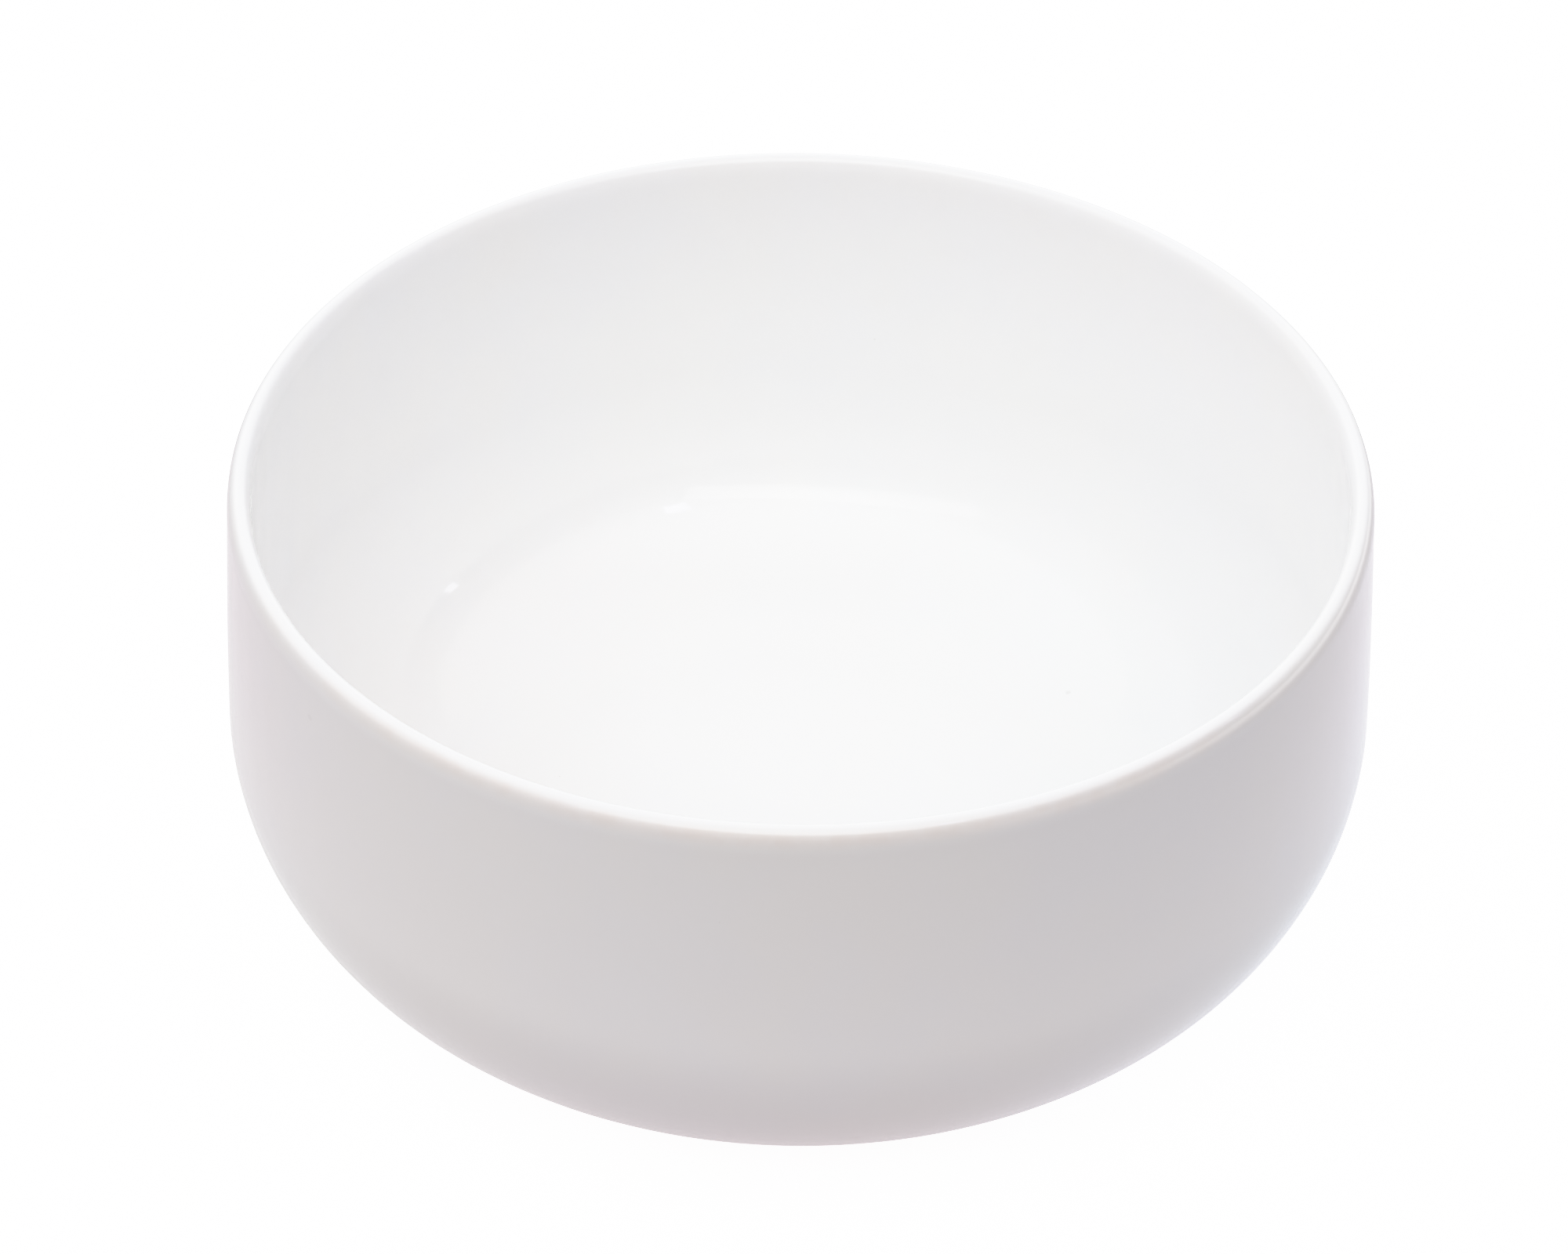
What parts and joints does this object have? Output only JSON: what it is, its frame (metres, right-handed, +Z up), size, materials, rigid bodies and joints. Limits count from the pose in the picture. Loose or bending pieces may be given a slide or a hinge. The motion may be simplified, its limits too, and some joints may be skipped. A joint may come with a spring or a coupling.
{
  "type": "evaporating dish",
  "caption": "Deep round white glazed porcelain dish with upright walls, a fully rounded lip and a bare foot ring, for evaporating liquids.",
  "frame": {"origin": "centre of the plane the foot ring stands on, on the dish's axis", "axes": "+Z up along the dish's axis of revolution, out of its mouth; the dish is round, so +X and +Y are free"},
  "size_m": [0.1518, 0.1518, 0.071],
  "materials": {
    "fired_porcelain": "bare fired body, matt and slightly warm, seen only on the foot ring",
    "white_gloss_glaze": "thick clear gloss glaze over white porcelain, with faint orange peel and a few specks"
  },
  "bodies": {
    "root": {"porcelain_body": "fired_porcelain", "glaze_coat": "white_gloss_glaze", "underside_glaze": "white_gloss_glaze"}
  },
  "joints": []
}
